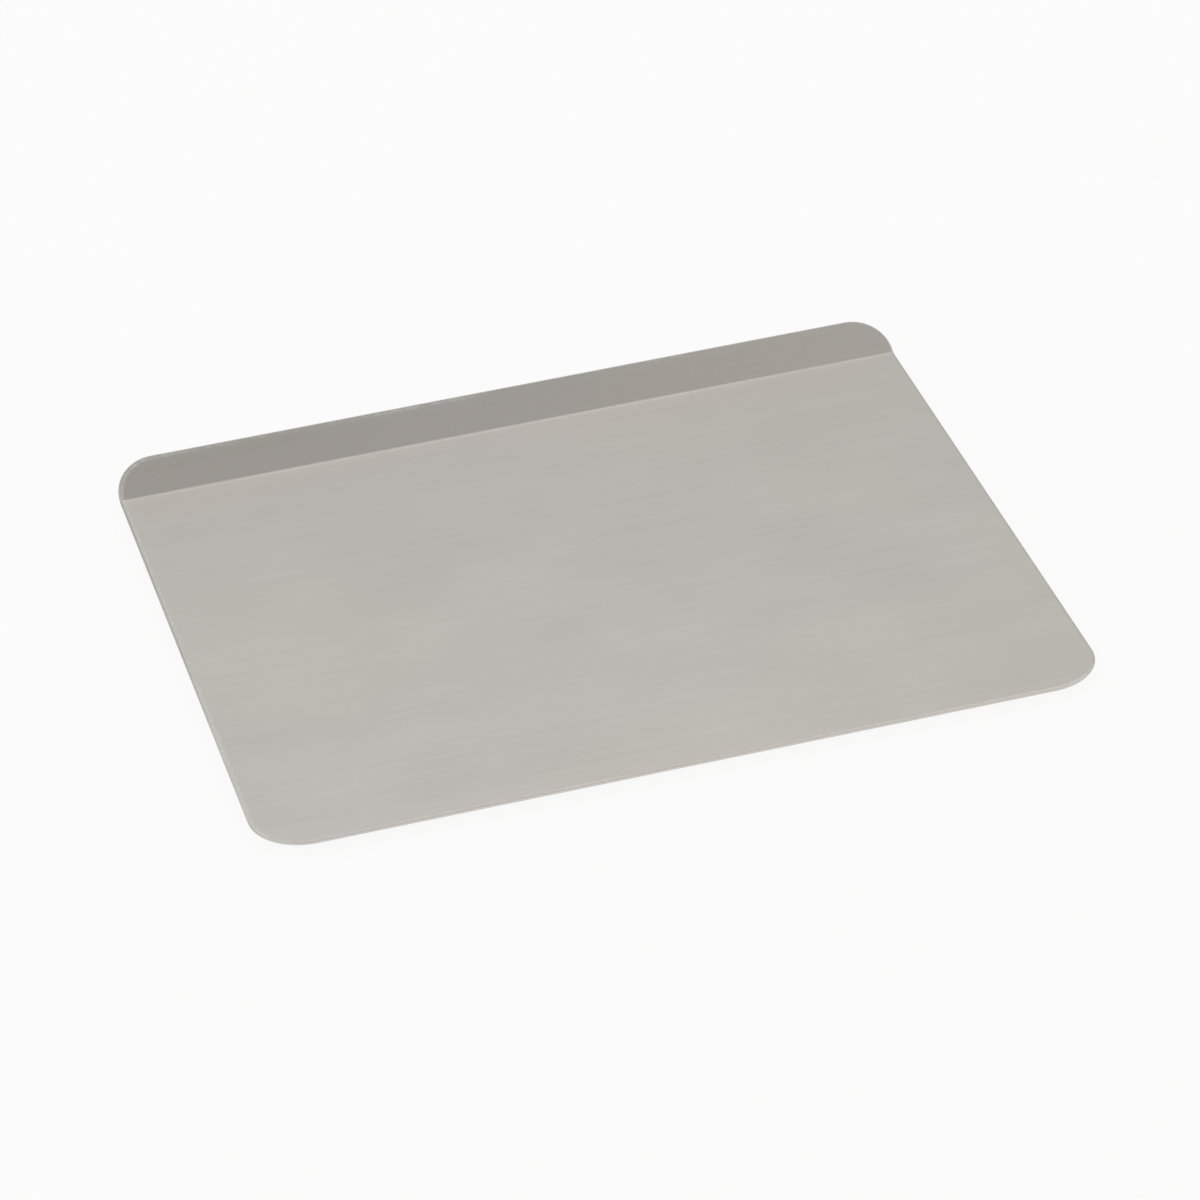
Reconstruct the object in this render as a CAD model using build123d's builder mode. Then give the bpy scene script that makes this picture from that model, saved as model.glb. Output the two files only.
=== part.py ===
"""Insulated cookie sheet: two pressed sheets joined by a folded hem, with one raised lip.

Frame, in millimetres: X runs along the lip, Y from the front edge towards the lip, and Z points up.
The origin is on the table under the middle of the sheet's plan.
"""

from build123d import *
import os
from math import atan2, cos, radians, sin, tan

# Overall plan of the finished sheet, outside to outside
sheet_width = 406.4
sheet_depth = 355.6

# Height of the baking surface above the table, and the gauges of the two sheets
baking_height = 7.0
top_gauge = 0.7
bottom_gauge = 0.6

# Gap left between the two sheets wherever they lie together
seam_clearance = 0.05

# Raised lip: slope from the flat, length up the slope, and inside radius of the bend on the baking side
lip_angle = 35.0
lip_length = 20.7
bend_radius = 5.0

# Rounded corners: radius at the front, and how far up the lip from the bend the lip's corners start
front_corner_radius = 27.0
lip_corner_start = 0.2

# Hem: width from the rim's outside to the tip of the return underneath
hem_width = 7.0

# Drawn base of the bottom sheet: flange left beyond the hem and before the bend, slope of the wall
flange_beyond_hem = 2.0
flange_before_bend = 12.0
wall_angle = 50.0
wall_bend_radius = 1.2

# Spacer dimples pressed up from the base: how many each way, pitch, and radii at foot, cap and bends
dimples_across = 5
dimples_deep = 4
dimple_pitch_across = 76.0
dimple_pitch_deep = 72.0
dimple_foot_radius = 12.0
dimple_cap_radius = 6.5
dimple_bend_radius = 1.5

# The hem is pressed flat round the flange of the bottom sheet, whose edge stands over the fold's centre
flange_drop = top_gauge + seam_clearance
fold_radius = flange_drop + bottom_gauge / 2
fold_inner_radius = fold_radius - top_gauge
fold_side = sheet_width / 2 - fold_radius
return_length = hem_width - fold_radius
lip_corner_radius = lip_length - lip_corner_start

# The bend line is placed so that the tilted rim ends on the plan's back edge
lip_sine = sin(radians(lip_angle))
lip_cosine = cos(radians(lip_angle))
bend_run = bend_radius * lip_sine
bend_rise = bend_radius * (1 - lip_cosine)
lip_run = (lip_length - fold_radius) * lip_cosine + fold_radius * lip_sine + fold_radius
bend_y = sheet_depth / 2 - bend_run - lip_run
flat_length = bend_y + sheet_depth / 2

# Each wing of the sheet lies on its own plane, whose local Y runs away from the bend along the wing
flat_plane = Plane(origin=(0, bend_y, baking_height), x_dir=(-1, 0, 0), z_dir=(0, 0, 1))
lip_plane = Plane(
    origin=(0, bend_y + bend_run, baking_height + bend_rise),
    x_dir=(1, 0, 0),
    z_dir=(0, -lip_sine, lip_cosine),
)
bend_plane = Plane(origin=(0, bend_y, baking_height), x_dir=(1, 0, 0), z_dir=(0, -1, 0))
bend_axis = Axis((0, bend_y, baking_height + bend_radius), (1, 0, 0))

# Drawn base: its mouth under the flange, its foot on the table, and the shift of its inner face
draw_depth = baking_height - flange_drop - bottom_gauge
mouth_inset = hem_width + flange_beyond_hem
foot_inset = mouth_inset + draw_depth / tan(radians(wall_angle))
wall_shift = bottom_gauge * tan(radians(wall_angle) / 2)
base_front_y = mouth_inset - sheet_depth / 2
base_back_y = bend_y - flange_before_bend
base_centre_y = (base_front_y + base_back_y) / 2
mouth_width = sheet_width - 2 * mouth_inset
mouth_depth = base_back_y - base_front_y

# A dimple rises until its cap is just clear of the underside of the top sheet
dimple_top = baking_height - flange_drop
dimple_rise = dimple_top - bottom_gauge
dimple_collar_radius = dimple_foot_radius + dimple_bend_radius
dimple_shift = bottom_gauge * tan(atan2(dimple_rise, dimple_foot_radius - dimple_cap_radius) / 2)


def wing_outline(plane, length, corner_radius, inset):
    """Outline of one wing, inset from the rim's outside, with its two far corners rounded."""
    with BuildSketch(plane) as outline:
        with Locations((0, (length - inset) / 2)):
            Rectangle(sheet_width - 2 * inset, length - inset)
        fillet(outline.vertices().group_by(Axis.Y)[-1], corner_radius - inset)
    return outline.sketch


def hem_path(plane, length, corner_radius):
    """Centre line of the hem's fold round one wing, from the bend and back to it."""
    far = length - fold_radius
    corners = ((fold_side, 0), (fold_side, far), (-fold_side, far), (-fold_side, 0))
    with BuildLine(plane) as path:
        FilletPolyline(*corners, radius=corner_radius - fold_radius)
    return path.line


def hem_section(plane):
    """Section of the hem round the fold's centre: the fold outside, then the return flat underneath."""
    with BuildSketch(plane) as section:
        with BuildLine():
            outer = CenterArc((0, 0), fold_radius, 90, 180)
            inner = CenterArc((0, 0), fold_inner_radius, 90, 180)
            under = Line(outer @ 1, (return_length, -fold_radius))
            tip = Line(under @ 1, (return_length, -fold_inner_radius))
            Line(tip @ 1, inner @ 1)
            Line(inner @ 0, outer @ 0)
        make_face()
    return section.sketch


def hem(plane, length, corner_radius):
    """Hem swept round one wing, with its section square to the start of its path."""
    path = hem_path(plane.offset(-fold_radius), length, corner_radius)
    start = Plane(origin=path @ 0, x_dir=-plane.x_dir, z_dir=path % 0)
    sweep(hem_section(start), path=path)


def base_outline(height, inset):
    """Rounded outline of the drawn base at a height, inset from the mouth under the flange."""
    with BuildSketch(Plane.XY.offset(height)) as outline:
        with Locations((0, base_centre_y)):
            Rectangle(mouth_width - 2 * inset, mouth_depth - 2 * inset)
        fillet(outline.vertices(), front_corner_radius - mouth_inset - inset)
    return outline.sketch


# Top sheet: baking surface, raised lip, the bend between them, and the hem round the rim
with BuildPart() as top_sheet:
    extrude(wing_outline(flat_plane, flat_length, front_corner_radius, fold_radius), amount=-top_gauge)
    extrude(wing_outline(lip_plane, lip_length, lip_corner_radius, fold_radius), amount=-top_gauge)
    hem(flat_plane, flat_length, front_corner_radius)
    hem(lip_plane, lip_length, lip_corner_radius)
    with BuildSketch(bend_plane) as bend_section:
        with Locations((0, -top_gauge / 2)):
            Rectangle(2 * fold_side, top_gauge)
        with Locations((-fold_side, -fold_radius)):
            add(hem_section(Plane.XY))
        mirror(about=Plane.YZ)
    revolve(axis=bend_axis, revolution_arc=lip_angle)

top_sheet.part.label = "top_sheet"

# One spacer dimple with its collar, pressed up out of the base
with BuildPart() as dimple:
    with BuildSketch(Plane.XZ):
        with BuildLine():
            upper = FilletPolyline(
                (0, dimple_top),
                (dimple_cap_radius, dimple_top),
                (dimple_foot_radius, bottom_gauge),
                (dimple_collar_radius, bottom_gauge),
                radius=(dimple_bend_radius + bottom_gauge, dimple_bend_radius),
            )
            lower = FilletPolyline(
                (0, dimple_top - bottom_gauge),
                (dimple_cap_radius - dimple_shift, dimple_top - bottom_gauge),
                (dimple_foot_radius - dimple_shift, 0),
                (dimple_collar_radius, 0),
                radius=(dimple_bend_radius, dimple_bend_radius + bottom_gauge),
            )
            Line(upper @ 0, lower @ 0)
            Line(upper @ 1, lower @ 1)
        make_face()
    revolve(axis=Axis.Z)

# Bottom sheet: flange under the rim and the lip, drawn base, and spacer dimples
with BuildPart() as bottom_sheet:
    for plane, length, corner_radius in (
        (flat_plane, flat_length, front_corner_radius),
        (lip_plane, lip_length, lip_corner_radius),
    ):
        flange = wing_outline(plane.offset(-flange_drop), length, corner_radius, fold_radius)
        extrude(flange, amount=-bottom_gauge)
    with BuildSketch(bend_plane) as flange_section:
        with Locations((0, -flange_drop - bottom_gauge / 2)):
            Rectangle(2 * fold_side, bottom_gauge)
    revolve(axis=bend_axis, revolution_arc=lip_angle)

    # The base is drawn down from the flange: outer form first, then the hollow one gauge above it
    draft = wall_angle - 90
    extrude(base_outline(0, foot_inset - mouth_inset), amount=draw_depth, taper=draft)
    hollow = base_outline(bottom_gauge, foot_inset - mouth_inset + wall_shift)
    extrude(hollow, amount=draw_depth, taper=draft, mode=Mode.SUBTRACT)
    foot, floor, flange_under, flange_over = bottom_sheet.faces().filter_by(Axis.Z).sort_by(Axis.Z)
    fillet(foot.edges() + flange_over.inner_wires()[0].edges(), wall_bend_radius + bottom_gauge)
    foot, floor, flange_under, flange_over = bottom_sheet.faces().filter_by(Axis.Z).sort_by(Axis.Z)
    fillet(floor.edges() + flange_under.inner_wires()[0].edges(), wall_bend_radius)

    # Dimples replace round pieces of the floor
    with Locations((0, base_centre_y)):
        with GridLocations(dimple_pitch_across, dimple_pitch_deep, dimples_across, dimples_deep):
            Hole(dimple_collar_radius)
            add(dimple.part)

bottom_sheet.part.label = "bottom_sheet"

os.makedirs("parts", exist_ok=True)
export_step(top_sheet.part, "parts/top_sheet.step")
export_step(bottom_sheet.part, "parts/bottom_sheet.step")
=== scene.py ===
"""Insulated cookie sheet of satin aluminium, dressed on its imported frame.

The frame is in metres: X runs along the lip, Y from the front edge towards the lip, and Z points
up. Two pressed sheets make the object. The top sheet has the baking surface, the raised lip and
the folded hem. The bottom sheet has a flange that the hem traps all round, and a drawn base that
holds the air gap.
"""

import logging
import math
from dataclasses import dataclass
from enum import Enum

import bmesh
import bpy
import numpy as np
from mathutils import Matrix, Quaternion, Vector
from mathutils.geometry import tessellate_polygon


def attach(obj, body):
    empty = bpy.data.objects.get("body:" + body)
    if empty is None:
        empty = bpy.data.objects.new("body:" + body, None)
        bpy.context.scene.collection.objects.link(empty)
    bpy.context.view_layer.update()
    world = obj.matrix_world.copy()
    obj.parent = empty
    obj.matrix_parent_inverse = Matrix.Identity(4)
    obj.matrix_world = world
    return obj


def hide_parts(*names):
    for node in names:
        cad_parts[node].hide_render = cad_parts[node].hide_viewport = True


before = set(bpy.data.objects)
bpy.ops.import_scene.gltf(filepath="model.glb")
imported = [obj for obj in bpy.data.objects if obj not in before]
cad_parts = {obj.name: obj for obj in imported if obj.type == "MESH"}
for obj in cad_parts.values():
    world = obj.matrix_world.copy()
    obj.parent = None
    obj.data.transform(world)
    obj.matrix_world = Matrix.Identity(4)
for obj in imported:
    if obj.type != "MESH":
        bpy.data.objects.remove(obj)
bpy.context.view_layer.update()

log = logging.getLogger("cookie_sheet")

BODY = "root"
CM3_IN_M3 = 1.0e6

# Points closer than this become one, and edges sharper than this are shaded sharp
MERGE_DISTANCE = 1.0e-6
SHARP_ANGLE = math.radians(38.0)

# What each vertex carries: its place on the flat blank, and its rub, which on the top sheet's rim
# includes painted highlight
PLACE_ATTRIBUTE = "blank_place"
RUB_AND_SHEEN_ATTRIBUTE = "rub_and_sheen"

# How far the extra column near each end of a row stands from that end, where half a row is 1
END_MARGIN = 0.004

# First and last angles, in degrees: the quarter turns of a right side's corners, and the hem's fold
FRONT_QUARTER = (-90.0, 0.0)
FAR_QUARTER = (0.0, 90.0)
HALF_TURN = (90.0, 270.0)

Triple = tuple[float, float, float]
Colour = Triple

WHITE: Colour = (1.0, 1.0, 1.0)


class Skin(Enum):
    """The two skins of a pressed sheet."""

    UPPER = "upper"
    LOWER = "lower"


# Surfaces


@dataclass
class Patch:
    """A piece of surface.

    Args:
        points: Places in the frame, one row a vertex.
        blank: Places on the flat blank before it was pressed, one row a vertex.
        rub_and_sheen: How much each vertex is rubbed in use, with painted highlight on the top
            sheet's rim, from 0 to 1.
        faces: Vertex numbers of each face.
    """

    points: np.ndarray
    blank: np.ndarray
    rub_and_sheen: np.ndarray
    faces: np.ndarray


def grid_faces(rows: int, columns: int, closed: bool = False) -> np.ndarray:
    """Quads between neighbouring rows and columns of a grid.

    Vertex number is row times columns plus column. A closed grid joins its last row to its first.

    Args:
        rows: How many rows the grid has.
        columns: How many columns it has.
        closed: Whether the last row meets the first.

    Returns:
        One row of four vertex numbers a quad.
    """
    row = np.arange(rows if closed else rows - 1)[:, None]
    column = np.arange(columns - 1)[None, :]
    here = row * columns + column
    above = (row + 1) % rows * columns + column
    return np.stack([here, above, above + 1, here + 1], axis=-1).reshape(-1, 4)


def grid_patch(
    points: np.ndarray, blank: np.ndarray, rub_and_sheen: np.ndarray | float, closed: bool = False
) -> Patch:
    """Patch of a grid of points.

    Args:
        points: Places in the frame, as rows by columns by three.
        blank: Places on the flat blank, in the same shape.
        rub_and_sheen: Rub and painted sheen of each point, as rows by columns, or one number for
            all.
        closed: Whether the last row meets the first.

    Returns:
        The patch with its quads.
    """
    rows, columns = points.shape[:2]
    wear_and_sheen = np.broadcast_to(rub_and_sheen, (rows, columns)).reshape(-1)
    faces = grid_faces(rows, columns, closed)
    return Patch(points.reshape(-1, 3), blank.reshape(-1, 3), wear_and_sheen, faces)


def filled_patch(loops: list[np.ndarray]) -> Patch:
    """Level surface inside one closed line and outside others.

    Args:
        loops: The outer line first and then each hole, as rows of places in the frame.

    Returns:
        The patch, cut into triangles.
    """
    triangles = tessellate_polygon([[Vector(p) for p in loop] for loop in loops])
    points = np.concatenate(loops)
    return Patch(points, points, np.zeros(len(points)), np.array(triangles))


def arc(
    centre: tuple[float, float], radius: float, start: float, end: float, steps: int
) -> np.ndarray:
    """Points of an arc: its centre plus its radius times cosine and sine of evenly spaced angles.

    Args:
        centre: The arc's centre.
        radius: Its radius.
        start: Its first angle, in degrees.
        end: Its last angle, in degrees.
        steps: How many equal steps it has.

    Returns:
        One row of two numbers a point.
    """
    angle = np.radians(np.linspace(start, end, steps + 1))
    x, y = centre
    return np.stack([x + radius * np.cos(angle), y + radius * np.sin(angle)], axis=-1)


def rounded_line(
    corners: np.ndarray, radii: tuple[float, ...], steps: int, margin: float
) -> np.ndarray:
    """Open line through corners, with an arc at each inner corner and a support point beside it.

    An arc touches both its runs, so it starts before the corner by its radius times the tangent
    of half the turn.

    Args:
        corners: The line's ends and corners, one row of two numbers each.
        radii: The arc's radius at each inner corner.
        steps: How many equal steps an arc has.
        margin: How far from each end of an arc its support point stands.

    Returns:
        One row of two numbers a point.
    """
    line = [corners[:1]]
    for before, corner, after, radius in zip(corners, corners[1:], corners[2:], radii):
        into = (corner - before) / np.linalg.norm(corner - before)
        out = (after - corner) / np.linalg.norm(after - corner)
        turn = math.atan2(into[0] * out[1] - into[1] * out[0], float(into @ out))
        reach = radius * math.tan(abs(turn) / 2)
        side = math.copysign(1.0, turn) * np.array([-into[1], into[0]])
        centre = corner - reach * into + radius * side
        swing = np.linspace(0, turn, steps + 1)[:, None]
        spoke = -radius * side
        across = np.array([-spoke[1], spoke[0]])
        bow = centre + np.cos(swing) * spoke + np.sin(swing) * across
        start, end = corner[None] - (reach + margin) * into, corner[None] + (reach + margin) * out
        line += [start, bow, end]
    return np.concatenate(line + [corners[-1:]])


def closed_loop(side: np.ndarray, spread: np.ndarray) -> np.ndarray:
    """Closed line of a shape that is the same on its left and right.

    It runs along the front from left to right, up the given right side, back along the far edge,
    and down the left.

    Args:
        side: Points of the right side from the front edge to the far edge.
        spread: Places along the front and far edges, from -1 at the left end to 1 at the right.

    Returns:
        One row of two numbers a point, with no point twice.
    """
    front = np.stack([side[0, 0] * spread, np.full_like(spread, side[0, 1])], axis=-1)
    far = np.stack([-side[-1, 0] * spread, np.full_like(spread, side[-1, 1])], axis=-1)
    left = side[::-1] * (-1.0, 1.0)
    return np.concatenate([front, side[1:], far[1:], left[1:-1]])


def edge_spread(count: int, margin: float) -> np.ndarray:
    """Places across a sheet from -1 to 1, even but for one more close to each end.

    The extra places keep the shading flat.

    Args:
        count: How many even steps there are.
        margin: How far the extra place stands from its end.

    Returns:
        The places in rising order.
    """
    even = np.linspace(-1.0, 1.0, count + 1)
    return np.sort(np.concatenate([even, [margin - 1.0, 1.0 - margin]]))


def store(mesh: bpy.types.Mesh, name: str, kind: str, key: str, parts: list[np.ndarray]) -> None:
    """Stores a value on each vertex of a mesh.

    Args:
        mesh: The mesh.
        name: The attribute's name.
        kind: Its type.
        key: The property that holds its value.
        parts: The values of each patch in turn.
    """
    attribute = mesh.attributes.new(name, kind, "POINT")
    attribute.data.foreach_set(key, np.concatenate(parts).astype(np.float32).ravel())


def make_piece(name: str, patches: list[Patch], finish: bpy.types.Material) -> bpy.types.Object:
    """Joins patches into one closed mesh with its faces outwards, and gives it a finish.

    Args:
        name: The piece's name.
        patches: Its surfaces, which meet point for point.
        finish: Its material.

    Returns:
        The piece's object, at the origin.
    """
    starts = np.cumsum([0] + [len(patch.points) for patch in patches[:-1]])
    numbered = [(patch.faces + start).tolist() for patch, start in zip(patches, starts)]
    mesh = bpy.data.meshes.new(name)
    points = np.concatenate([patch.points for patch in patches])
    mesh.from_pydata(points.tolist(), [], [face for part in numbered for face in part])
    store(mesh, PLACE_ATTRIBUTE, "FLOAT_VECTOR", "vector", [patch.blank for patch in patches])
    store(mesh, RUB_AND_SHEEN_ATTRIBUTE, "FLOAT", "value", [patch.rub_and_sheen for patch in patches])

    joined = bmesh.new()
    joined.from_mesh(mesh)
    bmesh.ops.remove_doubles(joined, verts=joined.verts, dist=MERGE_DISTANCE)
    fills = [face for face in joined.faces if len(face.verts) == 3]
    seams = [edge for edge in joined.edges if all(len(f.verts) == 3 for f in edge.link_faces)]
    bmesh.ops.beautify_fill(joined, faces=fills, edges=seams)
    bmesh.ops.recalc_face_normals(joined, faces=joined.faces)
    open_edges = sum(not edge.is_manifold for edge in joined.edges)
    volume = joined.calc_volume(signed=True) * CM3_IN_M3
    joined.to_mesh(mesh)
    joined.free()
    mesh.shade_smooth()
    mesh.set_sharp_from_angle(angle=SHARP_ANGLE)
    mesh.materials.append(finish)

    piece = bpy.data.objects.new(name, mesh)
    bpy.context.scene.collection.objects.link(piece)
    faces = len(mesh.polygons)
    log.info("%s: %d faces, %d open edges, %.1f cm3", name, faces, open_edges, volume)
    return piece


# Node trees


@dataclass(frozen=True)
class Noise:
    """One noise of a rolled sheet, drawn out along the axes with the smaller scales.

    Args:
        scale: Features in a metre along the blank's width, its depth and its height.
        detail: How many finer octaves are added.
        shift: Distance that keeps this noise apart from the others.
        tone: Its share in what darkens the colour.
    """

    scale: Triple
    detail: float
    shift: float
    tone: float = 0.0


class Signal:
    """A shader socket's output, on which Python's operators add Math nodes."""

    def __init__(self, tree: "Nodes", socket: bpy.types.NodeSocket) -> None:
        """Wraps a socket of a tree."""
        self.tree = tree
        self.socket = socket

    def _with(self, operation: str, first: "Signal | float", second: "Signal | float") -> "Signal":
        """Adds a Math node on two values."""
        sockets = {"Value": first, "Value_001": second}
        return self.tree.add("ShaderNodeMath", {"operation": operation}, sockets)

    def __add__(self, other: "Signal | float") -> "Signal":
        """Sum."""
        return self._with("ADD", self, other)

    def __radd__(self, other: float) -> "Signal":
        """Sum, with the number first."""
        return self._with("ADD", other, self)

    def __sub__(self, other: "Signal | float") -> "Signal":
        """Difference."""
        return self._with("SUBTRACT", self, other)

    def __rsub__(self, other: float) -> "Signal":
        """Difference, with the number first."""
        return self._with("SUBTRACT", other, self)

    def __mul__(self, other: "Signal | float") -> "Signal":
        """Product."""
        return self._with("MULTIPLY", self, other)

    def __rmul__(self, other: float) -> "Signal":
        """Product, with the number first."""
        return self._with("MULTIPLY", other, self)


Value = Signal | float | Colour


class Nodes:
    """One node tree, with a single method that adds any node to it."""

    def __init__(self, tree: bpy.types.NodeTree) -> None:
        """Empties a tree to build on."""
        self.tree = tree
        tree.nodes.clear()

    def add(
        self,
        kind: str,
        settings: dict[str, object] | None = None,
        sockets: dict[str, Value] | None = None,
        output: str | None = None,
    ) -> Signal:
        """Adds a node, sets its settings, and then sets or links its sockets.

        Args:
            kind: The node's type.
            settings: Its properties by name.
            sockets: A value or a link for each input, by the input's identifier.
            output: Identifier of the output that is wanted, or nothing for the first.

        Returns:
            The wanted output.
        """
        node = self.tree.nodes.new(kind)
        for name, value in (settings or {}).items():
            setattr(node, name, value)
        inputs = {socket.identifier: socket for socket in node.inputs}
        for name, value in (sockets or {}).items():
            if isinstance(value, Signal):
                self.tree.links.new(value.socket, inputs[name])
            elif isinstance(value, tuple) and inputs[name].type == "RGBA":
                inputs[name].default_value = (*value, 1.0)
            else:
                inputs[name].default_value = value
        outputs = {socket.identifier: socket for socket in node.outputs}
        return Signal(self, outputs[output] if output else next(iter(outputs.values()), None))

    def mix(self, share: Signal | float, first: Value, second: Value) -> Signal:
        """Colour between two others.

        Args:
            share: How much of the second there is, from 0 to 1.
            first: The first colour.
            second: The second colour.

        Returns:
            The mixed colour.
        """
        sockets = {"Factor_Float": share, "A_Color": first, "B_Color": second}
        return self.add("ShaderNodeMix", {"data_type": "RGBA"}, sockets, "Result_Color")

    def attribute(self, name: str, output: str) -> Signal:
        """Value that the mesh carries under a name."""
        return self.add("ShaderNodeAttribute", {"attribute_name": name}, None, output)

    def noise(self, place: Signal, kind: Noise) -> Signal:
        """Adds one of the noises.

        Args:
            place: Where the noise is read.
            kind: Which noise.

        Returns:
            Noise from 0 to 1.
        """
        location = (kind.shift, kind.shift, kind.shift)
        sockets = {"Vector": place, "Scale": kind.scale, "Location": location}
        stretched = self.add("ShaderNodeMapping", {"vector_type": "POINT"}, sockets)
        sockets = {"Vector": stretched, "Scale": 1.0, "Detail": kind.detail}
        return self.add("ShaderNodeTexNoise", None, sockets)

    def ease(self, value: Signal, low: float, high: float) -> Signal:
        """Smooth step from 0 where the value is the low number to 1 where it is the high one."""
        sockets = {"Value": value, "From Min": low, "From Max": high}
        return self.add("ShaderNodeMapRange", {"interpolation_type": "SMOOTHSTEP"}, sockets)


# Finishes

# Fine rolling lines, broader bands of them, patches, large clouds of warmth, and specks
GRAIN = Noise((14.0, 2400.0, 900.0), 3.0, 0.0, tone=0.9)
BANDS = Noise((2.2, 210.0, 90.0), 2.0, 3.1, tone=0.9)
PATCHES = Noise((16.0, 22.0, 22.0), 3.0, 7.7, tone=0.8)
CLOUD = Noise((5.0, 7.0, 7.0), 1.0, 12.3)
SPECKS = Noise((420.0, 520.0, 420.0), 2.0, 19.9, tone=0.35)
NOISE_MIDDLE = 0.5

# Levels of the cloud between which the colour turns warm
WARM_RANGE = (0.35, 0.7)

# Levels of rub and painted sheen between which the surface turns to its lighter rubbed tone, and
# how far specks and patches shift it
WEAR_AND_SHEEN_RANGE = (0.45, 1.0)
SPECK_WEAR_AND_SHEEN = 0.5
PATCH_WEAR_AND_SHEEN = 0.6

# How many times as far roughness swings over the patches as over the grain
PATCH_ROUGHNESS = 2.0


@dataclass(frozen=True)
class RolledAluminium:
    """Satin rolled aluminium, with its grain along the blank's width.

    Args:
        name: The material's name.
        tone: Main colour.
        warm_tone: Colour of the faint warmer patches.
        rub_and_sheen_tone: Lighter colour where the sheet is rubbed, on the top sheet's rim also a
            painted highlight.
        roughness: Roughness of the plain surface.
        roughness_swing: How far roughness goes up and down over the patches.
        rubbed_roughness: Roughness where the rim is rubbed.
        tone_swing: Share by which the noises darken the colour.
        grain_depth: Depth of the fine rolling lines, in metres.
        wave_depth: Depth of the slow unevenness of the sheet, in metres.
    """

    name: str
    tone: Colour
    warm_tone: Colour
    rub_and_sheen_tone: Colour
    roughness: float
    roughness_swing: float
    rubbed_roughness: float
    tone_swing: float
    grain_depth: float
    wave_depth: float

    def make(self) -> bpy.types.Material:
        """Builds the material.

        Returns:
            The finished material.
        """
        material = bpy.data.materials.new(self.name)
        material.use_nodes = True
        nodes = Nodes(material.node_tree)
        place = nodes.attribute(PLACE_ATTRIBUTE, "Vector")
        rub_and_sheen = nodes.attribute(RUB_AND_SHEEN_ATTRIBUTE, "Fac")

        grain = nodes.noise(place, GRAIN)
        bands = nodes.noise(place, BANDS)
        patches = nodes.noise(place, PATCHES)
        cloud = nodes.noise(place, CLOUD)
        specks = nodes.noise(place, SPECKS)

        darker = (
            (bands - NOISE_MIDDLE) * BANDS.tone
            + (patches - NOISE_MIDDLE) * PATCHES.tone
            + (grain - NOISE_MIDDLE) * GRAIN.tone
            + (specks - NOISE_MIDDLE) * SPECKS.tone
        )
        level = 1.0 - darker * self.tone_swing
        plain = nodes.mix(nodes.ease(cloud, *WARM_RANGE), self.tone, self.warm_tone)
        # Rub mixes in the lighter rubbed tone, which on the top sheet's rim is also a painted
        # highlight
        specked = rub_and_sheen + (specks - NOISE_MIDDLE) * SPECK_WEAR_AND_SHEEN
        wear_and_sheen = nodes.ease(specked + (patches - NOISE_MIDDLE) * PATCH_WEAR_AND_SHEEN, *WEAR_AND_SHEEN_RANGE)
        dressed = nodes.mix(wear_and_sheen, plain, self.rub_and_sheen_tone)
        levels = {"Red": level, "Green": level, "Blue": level}
        shade = nodes.add("ShaderNodeCombineColor", None, levels)
        colour = nodes.add(
            "ShaderNodeMix",
            {"data_type": "RGBA", "blend_type": "MULTIPLY"},
            {"Factor_Float": 1.0, "A_Color": dressed, "B_Color": shade},
            "Result_Color",
        )

        broad = (patches - NOISE_MIDDLE) * self.roughness_swing * PATCH_ROUGHNESS
        spread = broad + (grain - NOISE_MIDDLE) * self.roughness_swing
        roughness = (self.roughness + spread) * (1.0 - wear_and_sheen) + wear_and_sheen * self.rubbed_roughness
        relief = grain * self.grain_depth + patches * self.wave_depth
        depth = {"Strength": 1.0, "Distance": 1.0, "Height": relief}
        bump = nodes.add("ShaderNodeBump", None, depth)
        surface = nodes.add(
            "ShaderNodeBsdfPrincipled",
            None,
            {"Base Color": colour, "Roughness": roughness, "Normal": bump, "Metallic": 1.0},
        )
        nodes.add("ShaderNodeOutputMaterial", None, {"Surface": surface})
        return material


SATIN_FACE = RolledAluminium(
    name="satin_rolled_face",
    tone=(0.635, 0.606, 0.575),
    warm_tone=(0.641, 0.611, 0.570),
    rub_and_sheen_tone=(0.880, 0.858, 0.828),
    roughness=0.42,
    roughness_swing=0.05,
    rubbed_roughness=0.62,
    tone_swing=0.065,
    grain_depth=3.0e-6,
    wave_depth=2.5e-5,
)

MILL_BASE = RolledAluminium(
    name="dull_mill_base",
    tone=(0.600, 0.584, 0.562),
    warm_tone=(0.604, 0.584, 0.554),
    rub_and_sheen_tone=(0.720, 0.705, 0.685),
    roughness=0.50,
    roughness_swing=0.07,
    rubbed_roughness=0.34,
    tone_swing=0.13,
    grain_depth=5.0e-6,
    wave_depth=4.0e-5,
)


# The object


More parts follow.
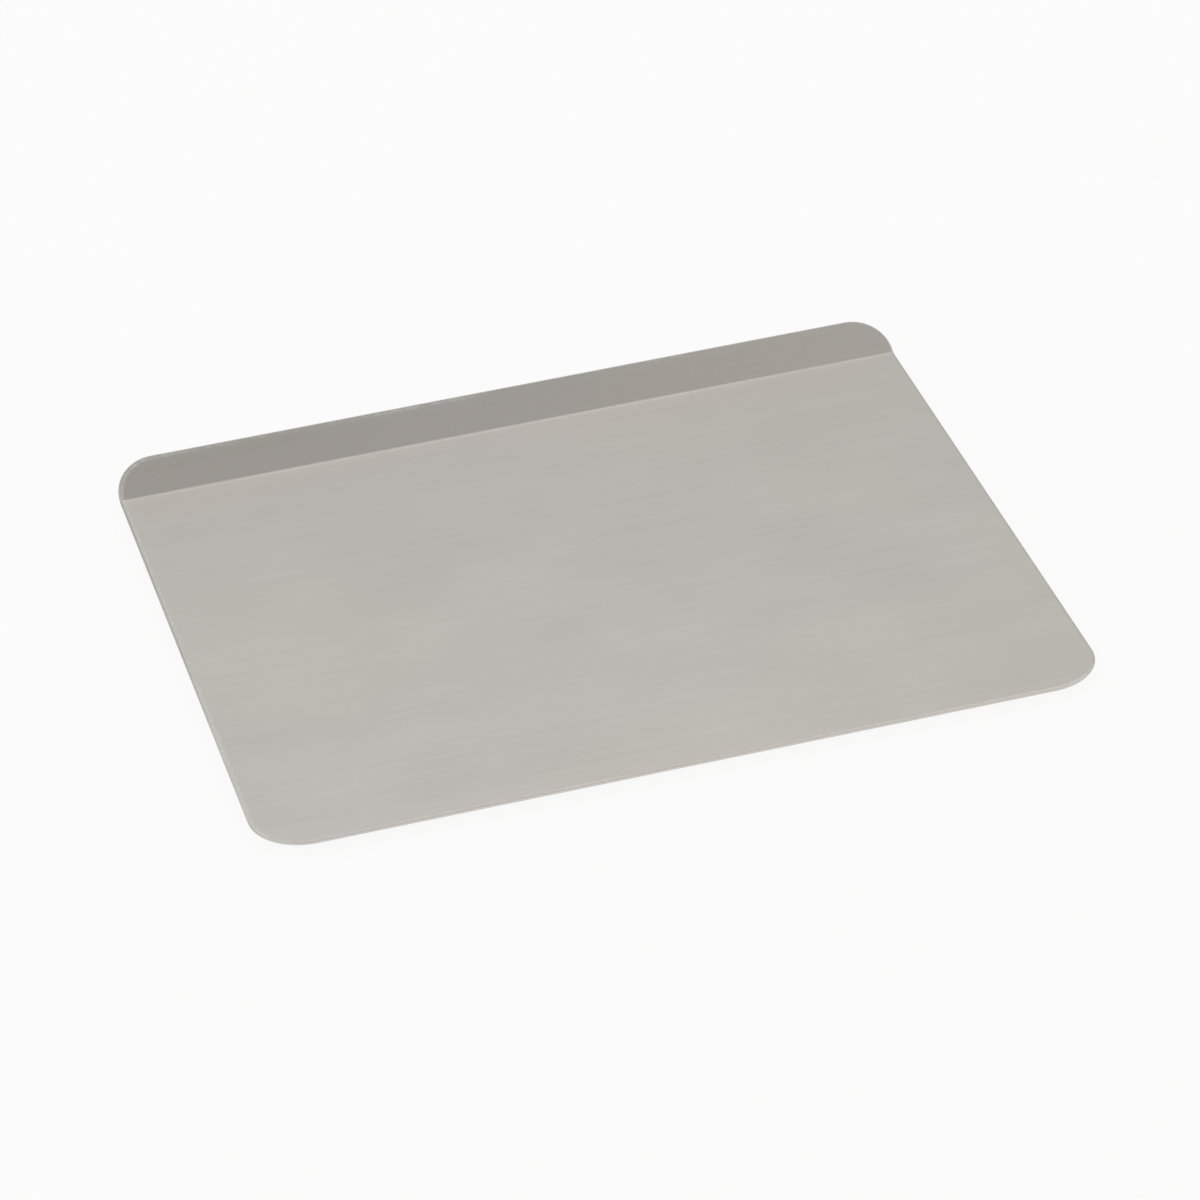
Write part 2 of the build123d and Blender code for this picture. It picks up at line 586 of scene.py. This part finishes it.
@dataclass(frozen=True)
class FoldedBlank:
    """A rounded flat blank, and the fold that raises its far strip as the lip.

    A place on the blank is a distance across it, a distance past the start of the bend, and a
    height over the baking surface, which is less than zero below it. Sizes are in metres, and
    angles in degrees.

    Args:
        width: Width of the finished sheet, from outside to outside.
        depth: Depth of its plan, from outside to outside.
        baking_height: Height of the baking surface over the table.
        lip_angle: Slope of the lip.
        lip_length: Length up the lip, from the end of the bend to the rim's outside.
        bend_radius: Radius of the bend on the baking side.
        front_corner_radius: Radius of the two front corners.
        lip_corner_start: How far past the bend the lip's corners start.
        rim_radius: Outer radius of the hem's fold.
        corner_steps: Steps round a corner.
        wing_steps: Steps along the side of the flat.
        bend_steps: Steps round the bend.
    """

    width: float = 0.4064
    depth: float = 0.3556
    baking_height: float = 0.0070
    lip_angle: float = 35.0
    lip_length: float = 0.0207
    bend_radius: float = 0.0050
    front_corner_radius: float = 0.0270
    lip_corner_start: float = 0.0002
    rim_radius: float = 0.00105
    corner_steps: int = 24
    wing_steps: int = 44
    bend_steps: int = 12

    @property
    def bend_arc(self) -> float:
        """Length of the bend along the baking surface."""
        return self.bend_radius * math.radians(self.lip_angle)

    @property
    def bend_y(self) -> float:
        """Where the bend starts: the plan's far edge less the runs of the rim, lip and bend.

        Returns:
            Its Y in the frame.
        """
        tilt = math.radians(self.lip_angle)
        rim = self.rim_radius * (1 + math.sin(tilt))
        lip = (self.lip_length - self.rim_radius) * math.cos(tilt)
        return self.depth / 2 - rim - lip - self.bend_radius * math.sin(tilt)

    @property
    def flat_length(self) -> float:
        """Length of the flat wing from the front edge to the bend."""
        return self.bend_y + self.depth / 2

    def fold(self, across: np.ndarray, past: np.ndarray, height: np.ndarray) -> np.ndarray:
        """Places in the frame of points on the blank.

        Before the bend a point stays level. In the bend it turns about an axis that lies one bend
        radius over the baking surface. Past the bend it goes on straight along the lip's slope.

        Args:
            across: Distance across the blank.
            past: Distance past the start of the bend.
            height: Height over the baking surface.

        Returns:
            The places, with three numbers each.
        """
        across, past, height = np.broadcast_arrays(across, past, height)
        turn = np.clip(past, 0, self.bend_arc) / self.bend_radius
        level = np.minimum(past, 0)
        slope = np.maximum(past - self.bend_arc, 0)
        reach = self.bend_radius - height
        y = self.bend_y + level + reach * np.sin(turn) + slope * np.cos(turn)
        z = self.baking_height + self.bend_radius - reach * np.cos(turn) + slope * np.sin(turn)
        return np.stack([across, y, z], axis=-1)

    def right_side(self, inset: float) -> np.ndarray:
        """Right side of the blank's outline, from the front edge to the lip's far edge.

        Args:
            inset: How far it is drawn in from the rim's outside.

        Returns:
            One row a point: distance across, and distance past the start of the bend.
        """
        half = self.width / 2
        lip_radius = self.lip_length - self.lip_corner_start
        corner = self.front_corner_radius
        front_centre = (half - corner, corner - self.flat_length)
        front = arc(front_centre, corner - inset, *FRONT_QUARTER, self.corner_steps)
        wing = np.linspace(corner - self.flat_length, 0, self.wing_steps + 1)[1:]
        bend = np.linspace(0, self.bend_arc, self.bend_steps + 1)[1:]
        straight = np.concatenate([wing, bend])
        side = np.stack([np.full_like(straight, half - inset), straight], axis=-1)
        lip_centre = (half - lip_radius, self.bend_arc + self.lip_corner_start)
        lip = arc(lip_centre, lip_radius - inset, *FAR_QUARTER, self.corner_steps)
        return np.concatenate([front, side, lip])

    @property
    def bend_row(self) -> int:
        """Number of the point on the right side where the bend starts."""
        return self.corner_steps + self.wing_steps


@dataclass(frozen=True)
class RimWearAndSheen:
    """How the rim is lightened: a band that the hemming tool burnished, and a fold that is rubbed.
    Both are partly painted highlight, brighter where light falls on the left and the front.

    Args:
        band_width: Width of the band along the rim.
        band_blur: Width over which the band ends.
        band: Level of the band halfway across the sheet.
        band_sheen_rightward: How much that level falls from there to the right side, as a painted
            highlight stronger on the left.
        band_sheen_frontward: How much it falls at the front edge, shaping the same painted
            highlight.
        fold_angle: Where on the fold the rub and painted highlight are strongest: 90 is its top and
            180 its outside.
        fold_spread: Degrees from there in which they fall to 1/e.
        fold: Their level on the fold away from the front and the left.
        fold_highlight_gain: Painted highlight that the fold gains at the front edge, and at the
            front end of the left side.
        edge_power: Power that keeps what belongs to one edge close to that edge.
    """

    band_width: float = 0.0027
    band_blur: float = 0.0003
    band: float = 0.545
    band_sheen_rightward: float = 0.070
    band_sheen_frontward: float = 0.060
    fold_angle: float = 113.0
    fold_spread: float = 34.0
    fold: float = 0.45
    fold_highlight_gain: float = 0.55
    edge_power: int = 8


@dataclass(frozen=True)
class TopSheet:
    """Baking surface, raised lip, and the hem that is folded flat under the bottom sheet's flange.

    Args:
        blank: The sheet's blank and its fold.
        gauge: The sheet's thickness.
        hem_width: Width from the rim's outside to the tip of the return underneath.
        border_width: Width of the rows along the rim that carry the burnished band.
        border_rows: Where those rows lie, as shares of that width, close where the band ends.
        return_rows: Where the rows of the hem's return lie, as shares of its reach.
        columns: Even steps across the sheet.
        fold_steps: Steps round the outside of the hem's fold.
        rim_wear_and_sheen: How the rim is worn and painted with highlight.
        finish: The sheet's finish.
    """

    blank: FoldedBlank
    gauge: float = 0.0007
    hem_width: float = 0.0070
    border_width: float = 0.0060
    border_rows: tuple[float, ...] = (1.0, 0.75, 0.52, 0.47, 0.42, 0.3, 0.22)
    return_rows: tuple[float, ...] = (0.06, 0.35, 0.65, 0.94, 1.0)
    columns: int = 48
    fold_steps: int = 18
    rim_wear_and_sheen: RimWearAndSheen = RimWearAndSheen()
    finish: RolledAluminium = SATIN_FACE

    def rim_section(self) -> tuple[np.ndarray, np.ndarray, np.ndarray, np.ndarray]:
        """Section of the rim, from the baking surface round the fold to the return, and back.

        The fold is two half circles about one centre, and the return runs level from them to its
        tip. The rub and painted sheen on the fold is e to the power of minus the square of a ratio:
        how far the angle is from the one where they are strongest, over the spread.

        Returns:
            Inset and height of each point, the developed inset of each point on the blank, its
            share of the burnished band with its painted highlight, and its rub and painted sheen on
            the fold.
        """
        radius = self.blank.rim_radius
        border = np.array(self.border_rows)[:, None] * (self.border_width, 0.0)
        reach = self.hem_width - radius
        run = np.array(self.return_rows)[:, None] * (reach, 0.0)
        turn = arc((radius, -radius), radius, *HALF_TURN, self.fold_steps)
        back = arc((radius, -radius), radius - self.gauge, *HALF_TURN, self.fold_steps)
        outside = np.concatenate([border, turn, turn[-1] + run])
        inside = np.concatenate([border - (0.0, self.gauge), back, back[-1] + run])
        tip = (outside[-1:] + inside[-1:]) / 2
        section = np.concatenate([outside, tip, inside[::-1]])

        steps = np.linalg.norm(np.diff(outside, axis=0), axis=1)
        travelled = self.border_width - np.concatenate([[0], np.cumsum(steps)])
        developed = np.concatenate([travelled, travelled[-1:], travelled[::-1]])

        top, under = len(border), len(border) + len(turn)
        burnish_and_sheen, rub_and_sheen = np.zeros(len(section)), np.zeros(len(section))
        inward = (self.rim_wear_and_sheen.band_width - border[:, 0]) / self.rim_wear_and_sheen.band_blur
        burnish_and_sheen[:top] = np.clip(inward + 0.5, 0, 1)
        burnish_and_sheen[top] = 1.0
        angle = np.linspace(*HALF_TURN, self.fold_steps + 1)
        rub_and_sheen[top:under] = np.exp(-(((angle - self.rim_wear_and_sheen.fold_angle) / self.rim_wear_and_sheen.fold_spread) ** 2))
        return section, developed, burnish_and_sheen, rub_and_sheen

    def plate(self, skin: Skin, spread: np.ndarray) -> Patch:
        """One skin of the plate inside the rim.

        Each row runs straight across between the two sides, so a point is the side's place times
        its spread.

        Args:
            skin: Which skin.
            spread: Places across each row, from -1 to 1.

        Returns:
            The skin as a grid.
        """
        height = 0.0 if skin is Skin.UPPER else -self.gauge
        side = self.blank.right_side(self.border_width)
        across = side[:, :1] * spread
        past = np.broadcast_to(side[:, 1:], across.shape)
        places = np.stack([across, past, np.full_like(across, height)], axis=-1)
        return grid_patch(self.blank.fold(across, past, height), places, 0.0)

    def wear_and_sheen(self, points: np.ndarray, burnish_and_sheen: np.ndarray, rub_and_sheen: np.ndarray) -> np.ndarray:
        """How much each point of the rim is worn and painted with highlight.

        The band is a burnish with a painted highlight that is stronger towards the left and fades
        at the front. The fold's rub carries a painted highlight that is brightest at the front, and
        ever less along the left side towards the lip.

        Args:
            points: Places in the frame.
            burnish_and_sheen: Share of the burnished band and its painted highlight of each point
                of the section.
            rub_and_sheen: Rub and painted sheen of each point of the section on the fold.

        Returns:
            The wear and painted highlight from 0 to 1.
        """
        rim_wear_and_sheen = self.rim_wear_and_sheen
        rightward = 2 * points[..., 0] / self.blank.width
        frontward = np.clip(-2 * points[..., 1] / self.blank.depth, 0, 1) ** rim_wear_and_sheen.edge_power
        leftward = np.clip(-rightward, 0, 1) ** rim_wear_and_sheen.edge_power
        forward = np.clip(0.5 - points[..., 1] / self.blank.depth, 0, 1)
        # Painted highlight: the band falls towards the right and at the front, and the fold gains
        # at the front edge and the front of the left side
        level = rim_wear_and_sheen.band - rim_wear_and_sheen.band_sheen_rightward * rightward - rim_wear_and_sheen.band_sheen_frontward * frontward
        gain = rim_wear_and_sheen.fold_highlight_gain * np.maximum(frontward, leftward * forward)
        return np.maximum(burnish_and_sheen * level, rub_and_sheen * (rim_wear_and_sheen.fold + gain))

    def rim(self, spread: np.ndarray) -> Patch:
        """The rim: its section carried round the blank's outline and folded with it.

        A point of the outline moves along a straight line as its inset grows, so two insets give
        all of them.

        Args:
            spread: Places along the front and far edges, from -1 to 1.

        Returns:
            The rim as a closed grid.
        """
        section, developed, burnish_and_sheen, rub_and_sheen = self.rim_section()
        edge = closed_loop(self.blank.right_side(0.0), spread)[:, None]
        inward = closed_loop(self.blank.right_side(1.0), spread)[:, None] - edge
        plan = edge + section[None, :, :1] * inward
        flat = edge + developed[None, :, None] * inward
        height = np.broadcast_to(section[:, 1], plan.shape[:2])
        points = self.blank.fold(plan[..., 0], plan[..., 1], height)
        places = np.concatenate([flat, height[..., None]], axis=-1)
        return grid_patch(points, places, self.wear_and_sheen(points, burnish_and_sheen, rub_and_sheen), closed=True)

    def build(self) -> bpy.types.Object:
        """Makes the top sheet and places it on the frame.

        Returns:
            The finished piece.
        """
        spread = edge_spread(self.columns, END_MARGIN)
        patches = [self.plate(Skin.UPPER, spread), self.rim(spread), self.plate(Skin.LOWER, spread)]
        piece = make_piece("baking_sheet", patches, self.finish.make())
        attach(piece, BODY)
        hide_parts("top_sheet")
        return piece


@dataclass(frozen=True)
class BottomSheet:
    """Flange that lies under the top sheet and its lip, drawn base, and the dimples in the base.

    Args:
        blank: The top sheet's blank, whose outline and fold the flange follows.
        gauge: The sheet's thickness.
        flange_drop: How far below the baking surface the flange's upper skin lies.
        mouth_inset: Inset of the base's mouth from the rim's outside, at the front and the sides.
        mouth_before_bend: How far before the bend the mouth ends.
        wall_angle: Slope of the base's wall, in degrees.
        wall_bend_radius: Inner radius of the bends at the mouth and at the foot.
        foot_wear: Distance from the foot in which the rub of the rack falls to 1/e.
        dimples_across: How many spacer dimples there are in a row.
        dimples_deep: How many rows there are.
        pitch_across: Distance between dimples in a row.
        pitch_deep: Distance between rows.
        dimple_foot_radius: Radius where a dimple leaves the base.
        dimple_cap_radius: Radius of its level cap.
        dimple_bend_radius: Inner radius of its bends.
        support: Width of the narrow level rings that keep the shading flat.
        columns: Even steps across the sheet.
        wall_steps: Steps in each bend of the wall.
        dimple_sides: Steps round a dimple.
        finish: The sheet's finish.
    """

    blank: FoldedBlank
    gauge: float = 0.0006
    flange_drop: float = 0.00075
    mouth_inset: float = 0.0090
    mouth_before_bend: float = 0.0120
    wall_angle: float = 50.0
    wall_bend_radius: float = 0.0012
    foot_wear: float = 0.0016
    dimples_across: int = 5
    dimples_deep: int = 4
    pitch_across: float = 0.0760
    pitch_deep: float = 0.0720
    dimple_foot_radius: float = 0.0120
    dimple_cap_radius: float = 0.0065
    dimple_bend_radius: float = 0.0015
    support: float = 0.0002
    columns: int = 48
    wall_steps: int = 5
    dimple_sides: int = 48
    finish: RolledAluminium = MILL_BASE

    @property
    def flange_height(self) -> float:
        """Height of the flange's underside over the table."""
        return self.blank.baking_height - self.flange_drop - self.gauge

    def lift(self, skin: Skin) -> float:
        """How far a skin lies over the sheet's underside."""
        return self.gauge if skin is Skin.UPPER else 0.0

    def base_side(self, inset: float) -> np.ndarray:
        """Right side of the base's rounded outline.

        Args:
            inset: How far it is drawn in from the rim's outside at the front and the sides.

        Returns:
            One row a point, in plan.
        """
        corner = self.blank.front_corner_radius
        half = self.blank.width / 2 - corner
        front = corner - self.blank.depth / 2
        far = self.blank.bend_y - self.mouth_before_bend + self.mouth_inset - corner
        steps = self.blank.corner_steps
        low = arc((half, front), corner - inset, *FRONT_QUARTER, steps)
        high = arc((half, far), corner - inset, *FAR_QUARTER, steps)
        return np.concatenate([low, high])

    def wall(self, skin: Skin, spread: np.ndarray) -> tuple[Patch, np.ndarray, np.ndarray]:
        """Bends and wall of the drawn base: a section carried round the base's outline.

        Args:
            skin: Which skin.
            spread: Places along the front and far edges, from -1 to 1.

        Returns:
            The wall as a closed grid, its outer line on the flange, and its inner line on the base.
        """
        slope = math.radians(self.wall_angle)
        shift = self.gauge * math.tan(slope / 2) if skin is Skin.UPPER else 0.0
        low, high = self.lift(skin), self.flange_height + self.lift(skin)
        mouth = self.mouth_inset + shift
        foot = mouth + self.flange_height / math.tan(slope)
        inner, outer = self.wall_bend_radius, self.wall_bend_radius + self.gauge
        radii = (outer, inner) if skin is Skin.UPPER else (inner, outer)
        reach = outer + 2 * self.support
        corners = np.array([[mouth - reach, high], [mouth, high], [foot, low], [foot + reach, low]])
        section = rounded_line(corners, radii, self.wall_steps, self.support)
        edge = closed_loop(self.base_side(0.0), spread)[:, None]
        inward = closed_loop(self.base_side(1.0), spread)[:, None] - edge
        plan = edge + section[None, :, :1] * inward
        height = np.broadcast_to(section[:, 1:], plan.shape[:2] + (1,))
        points = np.concatenate([plan, height], axis=-1)
        # Rub of the rack at the foot of the base: wear only, with no painted sheen
        rub_and_sheen = np.exp(-(((section[:, 0] - foot) / self.foot_wear) ** 2))
        wear_and_sheen = rub_and_sheen if skin is Skin.LOWER else 0.0
        return grid_patch(points, points, wear_and_sheen, closed=True), points[:, 0], points[:, -1]

    def dimples(self, skin: Skin) -> tuple[list[Patch], list[np.ndarray]]:
        """Spacer dimples: one section turned about each dimple's own axis.

        Args:
            skin: Which skin.

        Returns:
            The dimples as closed grids, and the circle in which each meets the base.
        """
        rise = self.flange_height
        slope = math.atan2(rise, self.dimple_foot_radius - self.dimple_cap_radius)
        shift = self.gauge * math.tan(slope / 2) if skin is Skin.LOWER else 0.0
        low, high = self.lift(skin), rise + self.lift(skin)
        inner, outer = self.dimple_bend_radius, self.dimple_bend_radius + self.gauge
        radii = (inner, outer) if skin is Skin.UPPER else (outer, inner)
        collar = self.dimple_foot_radius + self.dimple_bend_radius
        foot, cap = self.dimple_foot_radius - shift, self.dimple_cap_radius - shift
        corners = np.array([[collar, low], [foot, low], [cap, high], [0, high]])
        section = rounded_line(corners, radii, self.wall_steps, self.support)
        angle = np.linspace(0, 2 * math.pi, self.dimple_sides, endpoint=False)[:, None]
        ring = np.stack([section[:, 0] * np.cos(angle), section[:, 0] * np.sin(angle)], axis=-1)
        height = np.broadcast_to(section[:, 1:], ring.shape[:2] + (1,))
        one = np.concatenate([ring, height], axis=-1)

        far = self.blank.bend_y - self.mouth_before_bend
        middle = (self.mouth_inset - self.blank.depth / 2 + far) / 2
        x = (np.arange(self.dimples_across) - (self.dimples_across - 1) / 2) * self.pitch_across
        y = (np.arange(self.dimples_deep) - (self.dimples_deep - 1) / 2) * self.pitch_deep + middle
        placed = [one + (cx, cy, 0) for cx in x for cy in y]
        return [grid_patch(p, p, 0.0, closed=True) for p in placed], [p[:, 0] for p in placed]

    def skin(self, skin: Skin, spread: np.ndarray) -> list[Patch]:
        """One skin of the whole sheet: lip, flange, wall, base and dimples.

        Args:
            skin: Which skin.
            spread: Places across the sheet, from -1 to 1.

        Returns:
            The skin's patches, which meet point for point.
        """
        height = self.lift(skin) - self.flange_drop - self.gauge
        side = self.blank.right_side(self.blank.rim_radius)
        lip = side[self.blank.bend_row:]
        across = lip[:, :1] * spread
        past = np.broadcast_to(lip[:, 1:], across.shape)
        along = past + self.blank.bend_y
        places = np.stack([across, along, np.full_like(across, height)], axis=-1)
        raised = grid_patch(self.blank.fold(across, past, height), places, 0.0)

        wing = closed_loop(side[: self.blank.bend_row + 1], spread)
        border = self.blank.fold(wing[:, 0], wing[:, 1], height)
        wall, flange_line, base_line = self.wall(skin, spread)
        dimples, circles = self.dimples(skin)
        flange = filled_patch([border, flange_line])
        base = filled_patch([base_line, *circles])
        return [raised, flange, wall, base, *dimples]

    def cut_edge(self, spread: np.ndarray) -> Patch:
        """Cut edge of the flange, inside the fold: the outline carried from skin to skin.

        Args:
            spread: Places along the front and far edges, from -1 to 1.

        Returns:
            The edge as a closed grid.
        """
        outline = closed_loop(self.blank.right_side(self.blank.rim_radius), spread)[:, None]
        height = np.array([-self.flange_drop, -self.flange_drop - self.gauge])
        points = self.blank.fold(outline[..., 0], outline[..., 1], height)
        return grid_patch(points, points, 0.0, closed=True)

    def build(self) -> bpy.types.Object:
        """Makes the bottom sheet and places it on the frame.

        Returns:
            The finished piece.
        """
        spread = edge_spread(self.columns, END_MARGIN)
        skins = [*self.skin(Skin.UPPER, spread), *self.skin(Skin.LOWER, spread)]
        piece = make_piece("base_sheet", [*skins, self.cut_edge(spread)], self.finish.make())
        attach(piece, BODY)
        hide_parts("bottom_sheet")
        return piece


# The studio


@dataclass(frozen=True)
class Softbox:
    """A square white area lamp that faces the object.

    Args:
        name: The lamp's name.
        azimuth: Where it stands round the object, in degrees: 0 is in front, 90 on the right.
        elevation: Its height over the floor, in degrees.
        distance: Its distance from the object.
        size: Length of its side.
        power: Its power in watts.
    """

    name: str
    azimuth: float
    elevation: float
    distance: float
    size: float
    power: float

    def place(self) -> bpy.types.Object:
        """Adds the lamp to the scene.

        Returns:
            The lamp's object.
        """
        data = bpy.data.lights.new(self.name, "AREA")
        data.shape = "SQUARE"
        data.size = self.size
        data.energy = self.power
        lamp = bpy.data.objects.new(self.name, data)
        bpy.context.scene.collection.objects.link(lamp)
        turn, rise = math.radians(self.azimuth), math.radians(self.elevation)
        level = math.cos(rise)
        away = Vector((math.sin(turn) * level, -math.cos(turn) * level, math.sin(rise)))
        lamp.location = away * self.distance
        lamp.rotation_mode = "QUATERNION"
        lamp.rotation_quaternion = away.to_track_quat("Z", "Y")
        return lamp


@dataclass(frozen=True)
class Studio:
    """Pale floor, soft surrounding light, lamps, and the camera.

    Args:
        floor_size: Length of the floor's side.
        floor_colour: The floor's own colour.
        floor_roughness: Its roughness.
        floor_glow: Share of plain white in the floor as the camera and mirrored rays see it.
        far_light: Light level of the surroundings behind the object.
        near_light: Their level in front of it.
        overhead: Their level straight up.
        near_colour: Tint of the light in front and overhead.
        near_range: Y of a direction where the light in front begins, and where it is full.
        overhead_range: Z of a direction where the light overhead begins, and where it is full.
        lamps: The lamps.
        camera_place: Where the camera stands.
        camera_aim: The point on the baking surface at the middle of its view.
        camera_roll: Its turn about its own line of sight, in degrees.
        camera_reach: The nearest and the farthest distance that it shows.
        lens: Focal length in millimetres.
        sensor: Width of the picture on the sensor, in millimetres.
    """

    floor_size: float = 24.0
    floor_colour: Colour = (0.97, 0.97, 0.97)
    floor_roughness: float = 0.9
    floor_glow: float = 0.89
    far_light: float = 0.511
    near_light: float = 0.880
    overhead: float = 0.285
    near_colour: Colour = (1.0, 0.982, 0.962)
    near_range: tuple[float, float] = (0.5, -0.9)
    overhead_range: tuple[float, float] = (0.6, 1.0)
    lamps: tuple[Softbox, ...] = (
        Softbox("far_softbox", 171.5, 49.0, distance=5.0, size=3.0, power=19.1),
        Softbox("left_softbox", -95.0, 44.0, distance=2.8, size=3.6, power=13.8),
        Softbox("right_softbox", 85.0, 44.0, distance=2.8, size=3.6, power=11.2),
    )
    camera_place: Triple = (-0.51415, -2.33178, 1.43491)
    camera_aim: Triple = (-0.00208, -0.02269, 0.00700)
    camera_roll: float = -4.7628
    camera_reach: tuple[float, float] = (0.1, 60.0)
    lens: float = 172.232
    sensor: float = 36.0

    def surroundings(self) -> None:
        """Soft light from all round: one level behind, one in front, and a darker cap overhead."""
        world = bpy.data.worlds.new("studio_light")
        world.use_nodes = True
        bpy.context.scene.world = world
        nodes = Nodes(world.node_tree)
        direction = nodes.add("ShaderNodeTexCoord", None, None, "Generated")
        up = nodes.add("ShaderNodeSeparateXYZ", None, {"Vector": direction}, "Z")
        away = nodes.add("ShaderNodeSeparateXYZ", None, {"Vector": direction}, "Y")
        far = tuple(self.far_light * c for c in WHITE)
        near = tuple(self.near_light * c for c in self.near_colour)
        cap = tuple(self.overhead * c for c in self.near_colour)
        around = nodes.mix(nodes.ease(away, *self.near_range), far, near)
        light = nodes.mix(nodes.ease(up, *self.overhead_range), around, cap)
        background = nodes.add("ShaderNodeBackground", None, {"Color": light, "Strength": 1.0})
        nodes.add("ShaderNodeOutputWorld", None, {"Surface": background})

    def floor(self) -> bpy.types.Object:
        """Level floor that keeps the object's shadow.

        To the camera and to mirrored rays it is mostly a plain white glow, which whitens it.

        Returns:
            The floor's object.
        """
        half = self.floor_size / 2
        corners = [(-half, -half, 0), (half, -half, 0), (half, half, 0), (-half, half, 0)]
        mesh = bpy.data.meshes.new("studio_floor")
        mesh.from_pydata(corners, [], [(0, 1, 2, 3)])
        material = bpy.data.materials.new("pale_floor")
        material.use_nodes = True
        nodes = Nodes(material.node_tree)
        own = {
            "Base Color": self.floor_colour,
            "Roughness": self.floor_roughness,
            "Specular IOR Level": 0.0,
        }
        matt = nodes.add("ShaderNodeBsdfPrincipled", None, own)
        glow = nodes.add("ShaderNodeEmission", None, {"Color": WHITE, "Strength": 1.0})
        seen = nodes.add("ShaderNodeLightPath", None, None, "Is Camera Ray")
        glossy = nodes.add("ShaderNodeLightPath", None, None, "Is Glossy Ray")
        through = nodes.add("ShaderNodeLightPath", None, None, "Is Transmission Ray")
        direct = nodes.add("ShaderNodeClamp", None, {"Value": seen + glossy + through})
        shown = {"Fac": direct * self.floor_glow, "Shader": matt, "Shader_001": glow}
        surface = nodes.add("ShaderNodeMixShader", None, shown)
        nodes.add("ShaderNodeOutputMaterial", None, {"Surface": surface})
        mesh.materials.append(material)
        floor = bpy.data.objects.new("studio_floor", mesh)
        bpy.context.scene.collection.objects.link(floor)
        return floor

    def camera(self) -> bpy.types.Object:
        """Camera at the photograph's place, aimed at a point and turned by its roll.

        Returns:
            The camera's object.
        """
        data = bpy.data.cameras.new("photo_camera")
        data.lens = self.lens
        data.sensor_width = self.sensor
        data.clip_start, data.clip_end = self.camera_reach
        camera = bpy.data.objects.new("photo_camera", data)
        bpy.context.scene.collection.objects.link(camera)
        place, aim = Vector(self.camera_place), Vector(self.camera_aim)
        level = (aim - place).to_track_quat("-Z", "Y")
        roll = Quaternion((0.0, 0.0, 1.0), math.radians(self.camera_roll))
        camera.location = place
        camera.rotation_mode = "QUATERNION"
        camera.rotation_quaternion = level @ roll
        bpy.context.scene.camera = camera
        return camera

    def build(self) -> None:
        """Sets the whole studio up."""
        self.surroundings()
        self.floor()
        self.camera()
        for lamp in self.lamps:
            lamp.place()
        bpy.context.scene.view_settings.view_transform = "Standard"


def main() -> None:
    """Builds the two sheets and the studio in order, and reports each."""
    logging.basicConfig(level=logging.INFO, format="%(name)s: %(message)s")
    blank = FoldedBlank()
    for sheet in (TopSheet(blank), BottomSheet(blank)):
        piece = sheet.build()
        log.info("placed %s for %s", piece.name, type(sheet).__name__)
    Studio().build()


if __name__ == "__main__":
    main()
